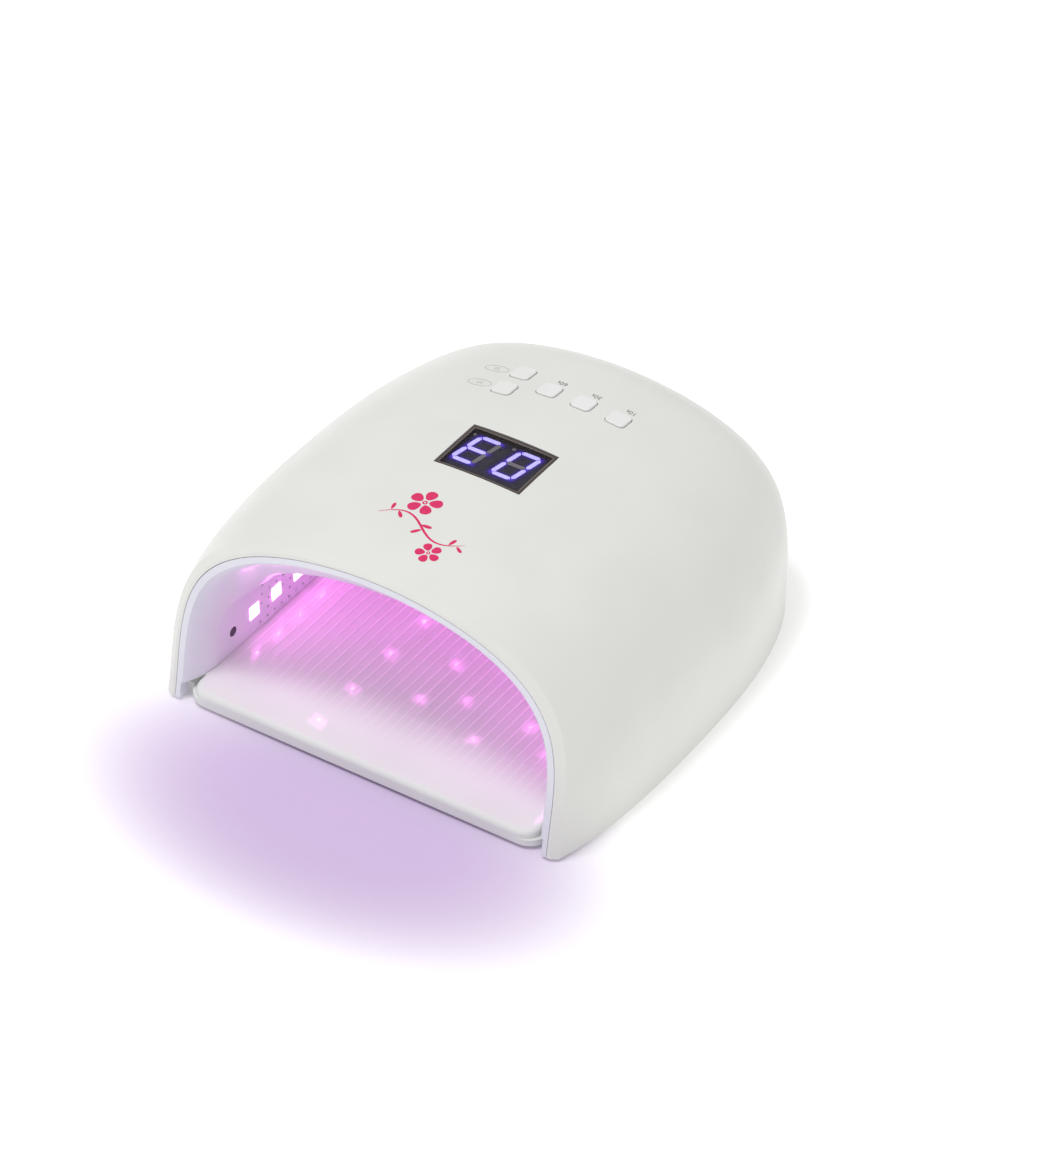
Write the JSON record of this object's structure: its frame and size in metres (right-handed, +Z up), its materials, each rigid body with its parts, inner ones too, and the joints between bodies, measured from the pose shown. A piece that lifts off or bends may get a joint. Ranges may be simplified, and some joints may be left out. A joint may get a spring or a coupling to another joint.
{
  "type": "uv led nail lamp",
  "caption": "White arched rechargeable nail curing lamp with an open front, lit display and keys on top, that lifts off a magnetic base tray.",
  "frame": {"origin": "on the table, under the middle of the lamp's outline", "axes": "+Z up, mouth towards -Y, +X to the right seen from the front"},
  "size_m": [0.2208, 0.2227, 0.1017],
  "materials": {
    "shell_white": "glossy moulded white",
    "liner_white": "glossy reflective white",
    "tray_white": "glossy white, finely ribbed",
    "lens_smoked": "smoked clear acrylic",
    "black_plastic": "matte black",
    "lit_blue": "lit violet-blue",
    "segment_grey": "unlit milky grey",
    "board_green": "green solder mask",
    "board_aluminium": "white coated aluminium",
    "led_yellow": "phosphor chip",
    "led_lens": "clear lens, lit",
    "sensor_dark": "dark infrared lens",
    "cell_wrap": "blue heat-shrink",
    "screw_steel": "zinc plated",
    "magnet_nickel": "nickel plated",
    "rubber_black": "soft matte",
    "button_white": "satin white",
    "plunger_black": "matte black"
  },
  "bodies": {
    "base_tray": {"base_tray": "tray_white", "rubber_feet": "rubber_black", "tray_magnets": "magnet_nickel"},
    "button_10s": {"button_10s": "button_white", "plunger_10s": "plunger_black"},
    "button_30s": {"button_30s": "button_white", "plunger_30s": "plunger_black"},
    "button_60s": {"button_60s": "button_white", "plunger_60s": "plunger_black"},
    "button_low_heat": {"button_low_heat": "button_white", "plunger_low_heat": "plunger_black"},
    "button_power": {"button_power": "button_white", "plunger_power": "plunger_black"},
    "housing": {"battery_cells": "cell_wrap", "battery_holder": "black_plastic", "board_screws": "screw_steel", "buzzer": "black_plastic", "charging_board": "board_green", "charging_jack": "black_plastic", "control_board": "board_green", "display_bezel": "black_plastic", "display_module": "black_plastic", "display_window": "lens_smoked", "inner_liner": "liner_white", "led_chips": "led_yellow", "led_windows": "led_lens", "left_ir_sensor": "sensor_dark", "left_shoulder_led_board": "board_aluminium", "left_side_led_board": "board_aluminium", "lit_segments": "lit_blue", "right_ir_sensor": "sensor_dark", "right_shoulder_led_board": "board_aluminium", "right_side_led_board": "board_aluminium", "shell_screws": "screw_steel", "steel_discs": "screw_steel", "tact_switches": "black_plastic", "top_led_board": "board_aluminium", "top_shell": "shell_white", "unlit_segments": "segment_grey"}
  },
  "joints": [
    {"name": "housing_lift", "type": "slide", "parent": "base_tray", "child": "housing", "axis": [0, 0, 1], "range_m": [0, 0.12]},
    {"name": "press_10s", "type": "slide", "parent": "housing", "child": "button_10s", "axis": [-0.1125, -0.0759, -0.9907], "range_m": [0, 0.0006], "stiffness_N_per_m": 400},
    {"name": "press_30s", "type": "slide", "parent": "housing", "child": "button_30s", "axis": [-0.0361, -0.0706, -0.9968], "range_m": [0, 0.0006], "stiffness_N_per_m": 400},
    {"name": "press_60s", "type": "slide", "parent": "housing", "child": "button_60s", "axis": [0.0361, -0.0706, -0.9968], "range_m": [0, 0.0006], "stiffness_N_per_m": 400},
    {"name": "press_low_heat", "type": "slide", "parent": "housing", "child": "button_low_heat", "axis": [0.1092, -0.0637, -0.992], "range_m": [0, 0.0006], "stiffness_N_per_m": 400},
    {"name": "press_power", "type": "slide", "parent": "housing", "child": "button_power", "axis": [0.1156, -0.0852, -0.9896], "range_m": [0, 0.0006], "stiffness_N_per_m": 400}
  ]
}
